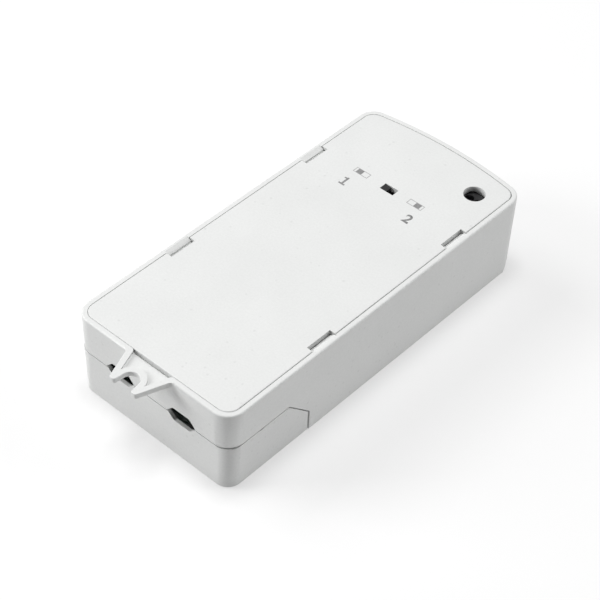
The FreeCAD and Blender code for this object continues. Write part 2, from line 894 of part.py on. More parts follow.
def mode_switch_knob():
    """The slider inside the switch with the knob that stands up into the panel's window."""
    level = switch_levels()
    x = knob_x()
    slider_y = around(mode_window_y, switch_width - 2 * switch_sheet - 2 * slider_gap)
    slider_z = (level["slider_low"], level["slider_top"])
    slider = block(around(x, slider_length), slider_y, slider_z)
    knob_y = around(mode_window_y, mode_window_width - 2 * knob_side_gap)
    knob = block(around(x, knob_length), knob_y, (level["slider_low"], body_height - knob_below_surface))
    return joined([slider, knob])


def mode_switch_contact():
    """The sprung bridge that the slider carries over the pads."""
    level = switch_levels()
    x = knob_x()
    bridge = switch_pin_pitch + switch_pin_width
    strip_z = (level["slider_low"] - contact_sheet, level["slider_low"])
    strip = block(around(x, bridge), around(mode_window_y, switch_pin_width), strip_z)
    feet = []
    for end in (-1, 1):
        foot_x = around(x + end * switch_pin_pitch / 2, switch_pin_width)
        feet.append(block(foot_x, around(mode_window_y, switch_pin_width), (level["pad"], strip_z[1])))
    return joined([strip] + feet)


def bulb_places():
    return [sensor_x - sensor_bulb_spacing / 2, sensor_x + sensor_bulb_spacing / 2]


def sensor_holder():
    """The black block with one deep well each for the emitter and the receiver."""
    z_span = (board_top, sensor_top)
    holder = block(around(sensor_x, sensor_block_size), around(sensor_y, sensor_block_size), z_span)
    well = sensor_bulb_diameter / 2 + sensor_bulb_gap
    wells = [rod(x, sensor_y, (board_top - beyond, sensor_top + beyond), well) for x in bulb_places()]
    return holder.cut(Part.makeCompound(wells))


def infrared_bulb(x):
    """A small cast bulb with a domed top, standing on the board."""
    radius = sensor_bulb_diameter / 2
    dome_z = sensor_top - sensor_bulb_recess - radius
    stem = rod(x, sensor_y, (board_top, dome_z), radius)
    return joined([stem, Part.makeSphere(radius, vector(x, sensor_y, dome_z))])


def sensor_leads():
    """Two legs of each bulb, through the board."""
    legs = []
    for x in bulb_places():
        for side in (-1, 1):
            leg_x = x + side * sensor_bulb_diameter / 4
            z_span = (board_underside - lead_stub, board_top)
            legs.append(rod(leg_x, sensor_y, z_span, chip_leg_width / 2))
    return Part.makeCompound(legs)


def power_row():
    """X of the film capacitor, the fuse and the relay, side by side."""
    widths = [film_capacitor_size[0], fuse_diameter, relay_size[0]]
    return spread(widths, -inner_half, inner_half)


def supply_row():
    """X of the input capacitor, the transformer and the output capacitor."""
    widths = [input_capacitor_diameter, transformer_width, output_capacitor_diameter]
    return spread(widths, -inner_half, inner_half)


def front_boss_row():
    """X of the varistor, the bridge rectifier and the power chip between the front bosses."""
    side = inner_half - boss_diameter - board_side_gap
    widths = [varistor_diameter, bridge_size[0], power_chip_size[0]]
    return spread(widths, -side, side)


def rear_row_y():
    """Y of the low-voltage parts in the rear end of the box, behind the rear bosses."""
    low = row_places()["rear_bosses"] + boss_diameter / 2
    high = inner_back - back_bow - board_side_gap
    return (low + high) / 2


def rear_row():
    """X of the choke and the control chip, left of the sensor's legs."""
    widths = [choke_diameter, control_chip_size[0]]
    return spread(widths, -inner_half + board_side_gap, sensor_x - sensor_block_size / 2)


def relay():
    x = power_row()[2]
    case = hung(x, row_places()["power"], relay_size)
    rounding = lead_diameter
    return case.makeFillet(rounding, level_edges(case, board_underside - relay_size[2]))


def straight_leads(places, low, radius):
    """Upright wires from a height under the board to just above it."""
    return [rod(x, y, (low, lead_end), radius) for x, y in places]


def relay_pins():
    x = power_row()[2]
    y = row_places()["power"]
    along = relay_size[0] / 2 - relay_size[1] / 4
    across = relay_size[1] / 4
    places = [(x + a * along, y + b * across) for a in (-1, 1) for b in (-1, 1)]
    return Part.makeCompound(straight_leads(places, board_underside, relay_pin_diameter / 2))


def film_capacitor():
    case = hung(power_row()[0], row_places()["power"], film_capacitor_size)
    return case.makeFillet(lead_diameter, level_edges(case, board_underside - film_capacitor_size[2]))


def fuse_z():
    return board_underside - part_gap - fuse_cap_proud - fuse_diameter / 2


def fuse_tube():
    """The glass tube of the fuse, between its two end caps."""
    y = row_places()["power"]
    y_span = around(y, fuse_length)
    tube = rod_along_y(power_row()[1], fuse_z(), y_span, fuse_diameter / 2)
    hollow = rod_along_y(power_row()[1], fuse_z(), y_span, fuse_diameter / 2 - lead_radius)
    return tube.cut(hollow)


def fuse_caps():
    """Two metal cups over the ends of the tube, with a wire turned up from each to the board."""
    caps = []
    x = power_row()[1]
    y = row_places()["power"]
    z = fuse_z()
    tube = rod_along_y(x, z, around(y, fuse_length), fuse_diameter / 2)
    for end in (-1, 1):
        outer = y + end * (fuse_length / 2 + fuse_cap_proud)
        inner = y + end * (fuse_length / 2 - fuse_cap_length)
        cup = rod_along_y(x, z, sorted((inner, outer)), fuse_diameter / 2 + fuse_cap_proud).cut(tube)
        caps.append(joined([cup, turned_lead(x, outer, end, z)]))
    return Part.makeCompound(caps)


def turned_lead(x, face_y, direction, z):
    """A wire that leaves an end face along Y, then turns up through the board."""
    end_y = face_y + direction * 2 * lead_diameter
    flat = rod_along_y(x, z, sorted((face_y, end_y)), lead_radius)
    knee = Part.makeSphere(lead_radius, vector(x, end_y, z))
    return joined([flat, knee, rod(x, end_y, (z, lead_end), lead_radius)])


def disc_body(x, y, diameter, thickness):
    """A coated disc that stands on edge under the board, with its rim rounded."""
    z = board_underside - part_gap - diameter / 2
    disc = rod_along_y(x, z, around(y, thickness), diameter / 2)
    return disc.makeFillet(thickness / 4, disc.Edges[:1] + disc.Edges[2:3])


def varistor():
    return disc_body(front_boss_row()[0], row_places()["front_bosses"], varistor_diameter, varistor_thickness)


def varistor_leads():
    x = front_boss_row()[0]
    y = row_places()["front_bosses"]
    low = board_underside - part_gap
    places = [(x + side * lead_diameter, y) for side in (-1, 1)]
    return straight_leads(places, low, lead_radius)


def chip(x, y, size, legs_per_side):
    """A flat moulded chip with a row of legs along each long side, soldered to the underside."""
    body = hung(x, y, size)
    rows = []
    pitch = size[0] / legs_per_side
    for side in (-1, 1):
        edge = y + side * size[1] / 2
        y_span = sorted((edge, edge + side * chip_leg_reach))
        for number in range(legs_per_side):
            leg_x = x - size[0] / 2 + pitch * (number + 0.5)
            z_span = (board_underside - size[2] / 2, board_underside)
            rows.append(block(around(leg_x, chip_leg_width), y_span, z_span))
    return joined([body] + rows)


def bridge_rectifier():
    return chip(front_boss_row()[1], row_places()["front_bosses"], bridge_size, 2)


def power_chip():
    return chip(front_boss_row()[2], row_places()["front_bosses"], power_chip_size, 4)


def control_chip():
    return chip(rear_row()[1], rear_row_y(), control_chip_size, 7)


def transformer_core():
    """Two E-shaped ferrite halves face to face: a frame with a leg through its middle."""
    x = supply_row()[1]
    y = row_places()["supply"]
    width = transformer_width
    leg = transformer_leg
    core_z = (board_underside - transformer_height + bobbin_wall, board_underside - bobbin_wall)
    frame = block(around(x, width), around(y, transformer_depth / 2), core_z)
    gap = (width - 3 * leg) / 2
    rooms = []
    for side in (-1, 1):
        room_x = around(x + side * (leg / 2 + gap / 2), gap)
        room_z = (core_z[0] + leg / 2, core_z[1] - leg / 2)
        rooms.append(block(room_x, around(y, transformer_depth), room_z))
    return frame.cut(Part.makeCompound(rooms))


def transformer_spool(x_grow, y_grow, z_span):
    """A block round the middle leg, grown by the amounts given."""
    x = supply_row()[1]
    y = row_places()["supply"]
    x_span = around(x, transformer_leg + 2 * x_grow)
    return block(x_span, around(y, transformer_depth / 2 + 2 * y_grow), z_span)


def spool_z():
    low = board_underside - transformer_height + bobbin_wall + transformer_leg / 2
    high = board_underside - bobbin_wall - transformer_leg / 2
    return (low, high)


def transformer_bobbin():
    """The spool on the middle leg, with a flange at each end and a foot to the board."""
    low, high = spool_z()
    leg = transformer_spool(0, beyond, (low - beyond, high + beyond))
    gap = (transformer_width - 3 * transformer_leg) / 2 - seat_gap
    reach = transformer_depth / 4
    tube = transformer_spool(bobbin_wall / 2, bobbin_wall / 2, (low, high))
    lower = transformer_spool(gap, reach, (low, low + bobbin_wall))
    upper = transformer_spool(gap, reach, (high - bobbin_wall, high))
    spool = joined([tube, lower, upper]).cut(transformer_spool(0, 0, (low, high)))
    feet = []
    for side in (-1, 1):
        y = row_places()["supply"] + side * (transformer_depth / 4 + reach / 2 + seat_gap)
        foot = around(y, reach - seat_gap * 2)
        foot_x = around(supply_row()[1], transformer_width)
        feet.append(block(foot_x, foot, (high - bobbin_wall, board_underside)))
    return joined([spool] + feet).cut(leg.common(transformer_core()))


def transformer_winding():
    """The taped winding, round the spool between its flanges."""
    low, high = spool_z()
    tube = bobbin_wall / 2
    gap = (transformer_width - 3 * transformer_leg) / 2
    x_grow = tube + winding_fill * (gap - tube)
    y_grow = tube + winding_fill * (transformer_depth / 4 - tube)
    z_span = (low + bobbin_wall, high - bobbin_wall)
    outer = transformer_spool(x_grow, y_grow, z_span)
    upright = upright_edges(outer, lambda x, y: True)
    outer = outer.makeFillet(bobbin_wall, upright)
    return outer.cut(transformer_spool(tube, tube, z_span))


def transformer_pins():
    x = supply_row()[1]
    y = row_places()["supply"]
    along = transformer_width / 2 - transformer_leg / 2
    across = transformer_depth / 2 - transformer_leg / 3
    places = [(x + a * along, y + b * across) for a in (-1, 0, 1) for b in (-1, 1)]
    return Part.makeCompound(straight_leads(places, board_underside, lead_radius))


def capacitor_can(x, y, diameter, length):
    """A round can lying along Y, with the rolled groove near its lead end."""
    radius = diameter / 2
    z = board_underside - part_gap - radius
    low, high = around(y, length)
    can = rod_along_y(x, z, (low, high), radius)
    groove_y = low + length / 8
    groove = Part.makeTorus(radius + capacitor_groove / 2, capacitor_groove, vector(x, groove_y, z),
                            vector(0, 1, 0))
    return can.cut(groove)


def input_capacitor():
    y = row_places()["supply"]
    return capacitor_can(supply_row()[0], y, input_capacitor_diameter, input_capacitor_length)


def output_capacitor():
    y = row_places()["supply"]
    return capacitor_can(supply_row()[2], y, output_capacitor_diameter, output_capacitor_length)


def capacitor_leads():
    """The two wires of each round can, turned up to the board."""
    wires = []
    cans = [
        (supply_row()[0], input_capacitor_diameter, input_capacitor_length),
        (supply_row()[2], output_capacitor_diameter, output_capacitor_length),
    ]
    for x, diameter, length in cans:
        face = row_places()["supply"] - length / 2
        z = board_underside - part_gap - diameter / 2
        for side in (-1, 1):
            wires.append(turned_lead(x + side * diameter / 4, face, -1, z))
    return wires


def film_capacitor_leads():
    x = power_row()[0]
    y = row_places()["power"]
    along = film_capacitor_size[1] / 2 - 2 * lead_diameter
    places = [(x, y + side * along) for side in (-1, 1)]
    return straight_leads(places, board_underside, lead_radius)


def choke_core():
    """A ferrite drum with a flange at each end of its neck."""
    x = rear_row()[0]
    y = rear_row_y()
    top = board_underside - part_gap
    low = top - choke_height
    return joined([
        rod(x, y, (low, top), choke_neck_diameter / 2),
        rod(x, y, (low, low + choke_flange), choke_diameter / 2),
        rod(x, y, (top - choke_flange, top), choke_diameter / 2),
    ])


def choke_winding():
    x = rear_row()[0]
    y = rear_row_y()
    top = board_underside - part_gap - choke_flange
    low = board_underside - part_gap - choke_height + choke_flange
    neck = choke_neck_diameter / 2
    outer = rod(x, y, (low, top), neck + winding_fill * (choke_diameter / 2 - neck))
    return outer.cut(rod(x, y, (low, top), neck))


def choke_leads():
    x = rear_row()[0]
    y = rear_row_y()
    places = [(x + side * choke_diameter / 4, y) for side in (-1, 1)]
    return straight_leads(places, board_underside - part_gap, lead_radius)


def component_leads():
    """The tinned wires of the parts that hang under the board."""
    return Part.makeCompound(varistor_leads() + capacitor_leads() + film_capacitor_leads() + choke_leads())


def small_row_x():
    """X of the small parts between the rear bosses: one each side of the mode switch's pins."""
    side = inner_half - boss_diameter - board_side_gap
    near = abs(mode_window_x) + switch_length / 2
    return (near + side) / 2


def voltage_regulator():
    return chip(-small_row_x(), row_places()["rear_bosses"], regulator_size, 3)


def driver_transistor():
    return chip(small_row_x(), row_places()["rear_bosses"], transistor_size, 2)


def chip_resistors():
    """A row of small chips on the upper side of the board, over the partition."""
    length = resistor_size[0]
    y = (partition_front + partition_back) / 2
    side = inner_half - hook_thickness - latch_window_depth - rim_width
    chips = []
    for x in spread([length] * resistor_count, -side, side):
        z_span = (board_top, board_top + resistor_size[2])
        chips.append(block(around(x, length), around(y, resistor_size[1]), z_span))
    return Part.makeCompound(chips)


def board_notches():
    """Cuts in the board's edges that let it pass the catches on its way in."""
    notches = []
    near = window_inner_x() + latch_gap - board_side_gap
    for side, y in latch_places():
        length = latch_window_length + 2 * board_side_gap
        x_span = mirrored_span(side, near, half_width)
        notches.append(block(x_span, around(y, length), (board_underside - beyond, board_top + beyond)))
    return notches


def lead_holes():
    """A hole in the board round each lead, pin and screw that goes through it."""
    z_span = (board_underside - beyond, board_top + beyond)
    holes = []
    for leads in (component_leads(), fuse_caps(), relay_pins(), transformer_pins(), sensor_leads(),
                  mode_switch_pins(), contact_bars(-1), contact_bars(1)):
        slice_z = (board_underside + board_thickness / 4, board_top - board_thickness / 4)
        slab = block((-half_width, half_width), (front_y, back_y), slice_z)
        for piece in leads.common(slab).Solids:
            box = piece.BoundBox
            x = (box.XMin + box.XMax) / 2
            y = (box.YMin + box.YMax) / 2
            reach = max(box.XLength, box.YLength) / 2
            square = abs(piece.Volume - box.XLength * box.YLength * box.ZLength) < 1e-6
            radius = reach * (math.sqrt(2) if square else 1) + lead_hole_gap
            holes.append(rod(x, y, z_span, radius))
    for x, y in boss_places():
        holes.append(rod(x, y, z_span, board_screw_diameter / 2 + lead_hole_gap))
    return holes


def circuit_board():
    """The board, from behind the wiring room to the rear end of the box."""
    board = case_slab(wall + board_side_gap, (board_underside, board_top))
    ahead = block((-body_width, body_width), (front_y - beyond, board_front), (0, body_height))
    board = board.cut(ahead)
    return board.cut(Part.makeCompound(board_notches() + lead_holes()))


def all_parts():
    """Every node's shape by its name."""
    parts = {
        "housing": housing(),
        "top_panel": top_panel(),
        "wiring_cover": wiring_cover(),
        "circuit_board": circuit_board(),
        "board_screws": board_screws(),
        "mode_switch_base": mode_switch_base(),
        "mode_switch_frame": mode_switch_frame(),
        "mode_switch_pins": mode_switch_pins(),
        "mode_switch_knob": mode_switch_knob(),
        "mode_switch_contact": mode_switch_contact(),
        "sensor_holder": sensor_holder(),
        "infrared_emitter": infrared_bulb(bulb_places()[0]),
        "infrared_receiver": infrared_bulb(bulb_places()[1]),
        "sensor_leads": sensor_leads(),
        "input_terminal": terminal_body(-1),
        "output_terminal": terminal_body(1),
        "input_contact_bars": contact_bars(-1),
        "output_contact_bars": contact_bars(1),
        "relay": relay(),
        "relay_pins": relay_pins(),
        "film_capacitor": film_capacitor(),
        "fuse_tube": fuse_tube(),
        "fuse_caps": fuse_caps(),
        "varistor": varistor(),
        "bridge_rectifier": bridge_rectifier(),
        "power_chip": power_chip(),
        "transformer_core": transformer_core(),
        "transformer_bobbin": transformer_bobbin(),
        "transformer_winding": transformer_winding(),
        "transformer_pins": transformer_pins(),
        "input_capacitor": input_capacitor(),
        "output_capacitor": output_capacitor(),
        "choke_core": choke_core(),
        "choke_winding": choke_winding(),
        "control_chip": control_chip(),
        "voltage_regulator": voltage_regulator(),
        "driver_transistor": driver_transistor(),
        "chip_resistors": chip_resistors(),
        "component_leads": component_leads(),
    }
    for number, x in enumerate(pole_places(), start=1):
        parts["terminal_screw_" + str(number)] = terminal_screw(x)
        parts["wire_clamp_" + str(number)] = wire_clamp(x)
    return parts


os.makedirs("parts", exist_ok=True)
for name, shape in all_parts().items():
    shape.exportStep("parts/" + name + ".step")
    state = "valid" if shape.isValid() else "NOT VALID"
    print(name, len(shape.Solids), "solids", state, round(shape.Volume, 2), "mm3")
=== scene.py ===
import json
import math

import bmesh
import bpy
from mathutils import Matrix, Vector


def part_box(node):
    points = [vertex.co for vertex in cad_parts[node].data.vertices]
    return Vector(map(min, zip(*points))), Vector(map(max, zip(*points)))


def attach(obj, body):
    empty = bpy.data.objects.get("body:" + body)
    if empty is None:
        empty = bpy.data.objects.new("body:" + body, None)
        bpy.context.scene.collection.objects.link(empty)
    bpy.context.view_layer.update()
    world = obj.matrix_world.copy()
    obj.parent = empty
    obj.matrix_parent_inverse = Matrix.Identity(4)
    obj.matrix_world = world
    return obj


MM = 0.001

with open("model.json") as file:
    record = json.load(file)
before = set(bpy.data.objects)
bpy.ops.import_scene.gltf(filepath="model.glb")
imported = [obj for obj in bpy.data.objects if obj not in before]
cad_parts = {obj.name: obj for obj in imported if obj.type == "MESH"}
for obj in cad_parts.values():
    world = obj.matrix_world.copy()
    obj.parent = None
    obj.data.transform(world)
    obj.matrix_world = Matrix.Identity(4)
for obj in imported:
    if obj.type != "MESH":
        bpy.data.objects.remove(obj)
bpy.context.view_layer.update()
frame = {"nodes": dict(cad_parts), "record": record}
nodes = frame["nodes"]


class Surface:
    """A procedural material, put together from textures in the part's own coordinates."""

    def __init__(self, name):
        self.material = bpy.data.materials.new(name)
        self.material.use_nodes = True
        self.tree = self.material.node_tree
        self.shader = self.tree.nodes["Principled BSDF"]
        self.place = self.add("ShaderNodeTexCoord").outputs["Object"]
        self.bump = None

    def add(self, kind, **settings):
        node = self.tree.nodes.new(kind)
        for name, value in settings.items():
            setattr(node, name, value)
        return node

    def wire(self, source, node, name):
        self.tree.links.new(source, node.inputs[name])

    def stretched(self, factors):
        """The coordinates scaled by a factor along each axis, for grain with a direction."""
        node = self.add("ShaderNodeMapping")
        node.inputs["Scale"].default_value = factors
        self.wire(self.place, node, "Vector")
        return node.outputs["Vector"]

    def noise(self, size, detail, place=None):
        """Cloudy noise from 0 to 1 whose blotches are about the size given, in metres."""
        node = self.add("ShaderNodeTexNoise")
        node.inputs["Scale"].default_value = 1 / size
        node.inputs["Detail"].default_value = detail
        self.wire(place or self.place, node, "Vector")
        return node.outputs["Fac"]

    def cells(self, size, output, **settings):
        """A pattern of cells about the size given: the distance in each, or its chance colour."""
        node = self.add("ShaderNodeTexVoronoi", **settings)
        node.inputs["Scale"].default_value = 1 / size
        self.wire(self.place, node, "Vector")
        return node.outputs[output]

    def waves(self, size, axis, distortion):
        """Even ridges across one axis, from 0 to 1."""
        node = self.add("ShaderNodeTexWave", wave_type="BANDS", bands_direction=axis)
        node.inputs["Scale"].default_value = 1 / size
        node.inputs["Distortion"].default_value = distortion
        self.wire(self.place, node, "Vector")
        return node.outputs["Fac"]

    def ranged(self, value, low, high, to_low=0.0, to_high=1.0):
        """The value mapped from one range to another and held inside it."""
        node = self.add("ShaderNodeMapRange")
        node.inputs["From Min"].default_value = low
        node.inputs["From Max"].default_value = high
        node.inputs["To Min"].default_value = to_low
        node.inputs["To Max"].default_value = to_high
        self.wire(value, node, "Value")
        return node.outputs["Result"]

    def maths(self, operation, first, second):
        node = self.add("ShaderNodeMath", operation=operation)
        for number, value in enumerate((first, second)):
            if isinstance(value, (int, float)):
                node.inputs[number].default_value = value
            else:
                self.tree.links.new(value, node.inputs[number])
        return node.outputs["Value"]

    def blended(self, factor, first, second):
        """A colour between two colours, either of which may come from another node."""
        node = self.add("ShaderNodeMix", data_type="RGBA")
        factor_input, first_input, second_input = 0, 6, 7
        colour_output = 2
        self.tree.links.new(factor, node.inputs[factor_input])
        for number, value in ((first_input, first), (second_input, second)):
            if isinstance(value, tuple):
                node.inputs[number].default_value = (*value, 1)
            else:
                self.tree.links.new(value, node.inputs[number])
        return node.outputs[colour_output]

    def colour(self, value):
        self.wire(value, self.shader, "Base Color")

    def rough(self, value):
        self.wire(value, self.shader, "Roughness")

    def raised(self, height, depth):
        """Adds relief of the depth given, in metres, on top of any relief already there."""
        node = self.add("ShaderNodeBump")
        node.inputs["Distance"].default_value = depth
        node.inputs["Strength"].default_value = 1.0
        self.wire(height, node, "Height")
        if self.bump:
            self.wire(self.bump, node, "Normal")
        self.bump = node.outputs["Normal"]

    def fixed(self, **values):
        """Values that are the same all over, set on the shader itself."""
        for name, value in values.items():
            self.shader.inputs[name.replace("_", " ")].default_value = value

    def done(self):
        if self.bump:
            self.wire(self.bump, self.shader, "Normal")
        return self.material


def scaled(colour, factor):
    return tuple(min(1.0, part * factor) for part in colour)


def speckled(surface, tone, colour, speck_strength):
    """The tone with scattered specks and a fine sandy grain, both in a darker colour."""
    dark = scaled(colour, 0.45)
    cell_size = 1.6 * MM
    largest_speck = 0.24
    soft_edge = 0.12
    sand_strength = 0.07
    distance = surface.cells(cell_size, "Distance")
    chance = surface.add("ShaderNodeSeparateColor")
    surface.wire(surface.cells(cell_size, "Color"), chance, "Color")
    radius = surface.ranged(chance.outputs["Red"], 0.4, 1.0, 0.0, largest_speck)
    inside = surface.maths("SUBTRACT", radius, distance)
    speck = surface.ranged(inside, 0.0, soft_edge, 0.0, speck_strength)
    sand = surface.noise(0.45 * MM, 1.0)
    grain = surface.ranged(sand, 0.3, 0.7, 0.0, sand_strength)
    return surface.blended(grain, surface.blended(speck, tone, dark), dark)


def moulded(name, colour, roughness, grain, depth, speck_strength=0.0):
    """Moulded plastic: spark-eroded grain, faint clouds in colour and gloss, and specks if asked for."""
    surface = Surface(name)
    clouds = surface.ranged(surface.noise(18 * MM, 3.0), 0.35, 0.65)
    tone = surface.blended(clouds, scaled(colour, 0.985), scaled(colour, 1.015))
    if speck_strength:
        tone = speckled(surface, tone, colour, speck_strength)
    surface.colour(tone)
    polish = surface.noise(6 * MM, 4.0)
    surface.rough(surface.ranged(polish, 0.3, 0.7, roughness - 0.05, roughness + 0.05))
    surface.raised(surface.noise(grain, 2.0), depth)
    surface.raised(surface.noise(grain * 14, 1.0), depth * 0.6)
    surface.fixed(IOR=1.49, Specular_IOR_Level=0.35)
    return surface.done()


def metal(name, colour, roughness):
    """Plated metal with fine drawn lines and a few dull blotches."""
    surface = Surface(name)
    blotch = surface.noise(1.8 * MM, 4.0)
    surface.colour(surface.blended(surface.ranged(blotch, 0.35, 0.7), colour, scaled(colour, 0.8)))
    lines = surface.noise(0.12 * MM, 3.0, surface.stretched((1.0, 1.0, 0.06)))
    surface.rough(surface.ranged(lines, 0.3, 0.7, roughness - 0.08, roughness + 0.12))
    surface.raised(lines, 0.004 * MM)
    surface.fixed(Metallic=1.0)
    return surface.done()


def glossy(name, colour, roughness):
    """A dipped or cast coating, smooth with slow waves in it."""
    surface = Surface(name)
    clouds = surface.ranged(surface.noise(2.2 * MM, 3.0), 0.3, 0.7)
    surface.colour(surface.blended(clouds, scaled(colour, 0.88), scaled(colour, 1.1)))
    polish = surface.noise(0.9 * MM, 3.0)
    surface.rough(surface.ranged(polish, 0.3, 0.7, roughness, roughness + 0.12))
    surface.raised(surface.noise(0.6 * MM, 2.0), 0.01 * MM)
    surface.fixed(Coat_Weight=0.3, Coat_Roughness=0.12)
    return surface.done()


def laminate(name):
    """The circuit board: tracks that show faintly through a green mask, and a woven grain."""
    surface = Surface(name)
    mask = (0.012, 0.11, 0.045)
    track = (0.03, 0.2, 0.08)
    edge = surface.cells(4.2 * MM, "Distance", feature="DISTANCE_TO_EDGE")
    tracks = surface.ranged(edge, 0.10, 0.13, 1.0, 0.0)
    islands = surface.ranged(surface.noise(11 * MM, 0.0), 0.52, 0.56)
    copper = surface.maths("MAXIMUM", tracks, surface.maths("MULTIPLY", islands, 0.8))
    base = surface.blended(copper, mask, track)
    cloth = surface.noise(0.35 * MM, 3.0)
    surface.colour(surface.blended(surface.ranged(cloth, 0.3, 0.8, 0.0, 0.25), base, scaled(mask, 0.6)))
    surface.rough(surface.ranged(cloth, 0.3, 0.7, 0.3, 0.45))
    surface.raised(copper, 0.03 * MM)
    surface.raised(cloth, 0.006 * MM)
    return surface.done()


def wound(name, colour, pitch, depth, metallic=0.0):
    """Turns of wire or tape, side by side along Z."""
    surface = Surface(name)
    turns = surface.waves(pitch, "Z", 0.4)
    # The colour is darker in the grooves between the turns, where the relief is lowest: painted shade.
    surface.colour(surface.blended(turns, scaled(colour, 0.55), colour))
    surface.rough(surface.ranged(surface.noise(0.7 * MM, 3.0), 0.3, 0.7, 0.25, 0.4))
    surface.raised(turns, depth)
    surface.fixed(Metallic=metallic)
    return surface.done()


def sintered(name):
    """Ferrite: dark, dull and granular, with paler pits."""
    surface = Surface(name)
    grains = surface.noise(0.25 * MM, 5.0)
    pits = surface.ranged(grains, 0.45, 0.75)
    surface.colour(surface.blended(pits, (0.03, 0.03, 0.034), (0.085, 0.085, 0.09)))
    surface.rough(surface.ranged(grains, 0.3, 0.7, 0.5, 0.7))
    surface.raised(grains, 0.02 * MM)
    return surface.done()


def tube_glass(name):
    """The clear tube of the fuse, a little wavy, with a faint film inside."""
    surface = Surface(name)
    film = surface.noise(1.2 * MM, 3.0)
    surface.colour(surface.blended(film, (0.86, 0.92, 0.9), (0.95, 0.97, 0.96)))
    surface.rough(surface.ranged(film, 0.3, 0.7, 0.02, 0.12))
    surface.raised(surface.noise(1.5 * MM, 1.0), 0.006 * MM)
    surface.fixed(Transmission_Weight=0.92, IOR=1.5)
    return surface.done()


def printed(name, tone):
    """Pad-printed ink: grey, thin in places, with the plastic's grain showing through."""
    surface = Surface(name)
    cover = surface.noise(0.3 * MM, 4.0)
    grey = (tone, tone, tone)
    surface.colour(surface.blended(surface.ranged(cover, 0.35, 0.75), grey, scaled(grey, 1.3)))
    surface.rough(surface.ranged(cover, 0.3, 0.7, 0.42, 0.6))
    surface.raised(surface.noise(0.22 * MM, 2.0), 0.004 * MM)
    return surface.done()


def plain_floor():
    """A pale table with a soft light of its own, which keeps shadows faint."""
    surface = Surface("studio_floor")
    tone = surface.noise(0.5, 2.0)
    surface.colour(surface.blended(tone, (0.41, 0.41, 0.41), (0.43, 0.43, 0.43)))
    surface.rough(surface.ranged(tone, 0.3, 0.7, 0.75, 0.85))
    surface.fixed(Specular_IOR_Level=0.1, Emission_Color=(1, 1, 1, 1), Emission_Strength=0.46)
    return surface.done()


# How each slot of the record is made: the maker and what it is given
slot_makers = {
    "shell_plastic": (moulded, (0.652, 0.658, 0.652), 0.5, 0.4 * MM, 0.022 * MM, 0.16),
    "black_plastic": (moulded, (0.03, 0.03, 0.031), 0.42, 0.15 * MM, 0.008 * MM),
    "terminal_plastic": (moulded, (0.035, 0.22, 0.12), 0.45, 0.18 * MM, 0.01 * MM),
    "relay_plastic": (moulded, (0.025, 0.06, 0.18), 0.42, 0.15 * MM, 0.008 * MM),
    "chip_plastic": (moulded, (0.022, 0.022, 0.024), 0.55, 0.1 * MM, 0.01 * MM),
    "bobbin_plastic": (moulded, (0.03, 0.03, 0.03), 0.5, 0.15 * MM, 0.008 * MM),
    "screw_steel": (metal, (0.62, 0.62, 0.63), 0.3),
    "tinned_metal": (metal, (0.7, 0.7, 0.71), 0.25),
    "contact_brass": (metal, (0.8, 0.6, 0.28), 0.28),
    "film_yellow": (glossy, (0.72, 0.52, 0.06), 0.25),
    "disc_blue": (glossy, (0.04, 0.13, 0.42), 0.2),
    "capacitor_sleeve": (glossy, (0.03, 0.035, 0.06), 0.2),
    "emitter_resin": (glossy, (0.026, 0.024, 0.03), 0.2),
    "receiver_resin": (glossy, (0.016, 0.016, 0.018), 0.2),
    "winding_tape": (wound, (0.75, 0.55, 0.06), 1.1 * MM, 0.02 * MM),
    "copper_wire": (wound, (0.7, 0.3, 0.12), 0.3 * MM, 0.06 * MM, 0.85),
    "board_laminate": (laminate,),
    "ferrite": (sintered,),
    "fuse_glass": (tube_glass,),
}
finishes = {slot: maker(slot, *given) for slot, (maker, *given) in slot_makers.items()}

for part in frame["record"]["subparts"]:
    mesh = nodes[part["node"]].data
    mesh.materials.clear()
    mesh.materials.append(finishes[part["material_slot"]])


def softened(node, width):
    """Rounds a moulding's sharp edges by a small width, as a mould leaves them."""
    weld = node.modifiers.new("weld", "WELD")
    weld.merge_threshold = 0.0005 * MM
    bevel = node.modifiers.new("bevel", "BEVEL")
    bevel.width = width
    bevel.segments = 2
    bevel.limit_method = "ANGLE"
    bevel.angle_limit = math.radians(35)
    bevel.miter_outer = "MITER_ARC"
    bevel.harden_normals = True


# Widths in millimetres
edge_widths = {"housing": 0.12, "wiring_cover": 0.12, "top_panel": 0.07, "mode_switch_knob": 0.08}
for name, width in edge_widths.items():
    softened(nodes[name], width * MM)

# The print on the panel: places and sizes in millimetres, and each mark's bar as shares of its length
slider_mark_low = 24.05
slider_mark_high = 25.62
slider_mark_line = 0.15
left_mark_span = (-9.74, -5.94)
left_mark_bar = (0.17, 0.55)
right_mark_span = (4.9, 8.72)
right_mark_bar = (0.45, 0.83)
number_low = 19.05
number_height = 2.65
number_one_left = -9.5
number_one_right = -7.9
number_one_stem = (-8.95, -8.47)
number_one_foot = 0.42
number_one_flag = (21.1, 21.5)
number_two_middle = 8.45
print_height = 0.008

panel_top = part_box("top_panel")[1].z
print_low = panel_top - print_height * MM
print_high = panel_top + print_height * MM
ink = printed("printed_ink", 0.2)
light_ink = printed("printed_outline", 0.3)


def shown(name, mesh):
    """A mesh put into the scene as a piece of its own."""
    piece = bpy.data.objects.new(name, mesh)
    bpy.context.scene.collection.objects.link(piece)
    return piece


def mesh_of(name, vertices, faces, material):
    mesh = bpy.data.meshes.new(name)
    mesh.from_pydata(vertices, [], faces)
    mesh.update()
    mesh.materials.append(material)
    return mesh


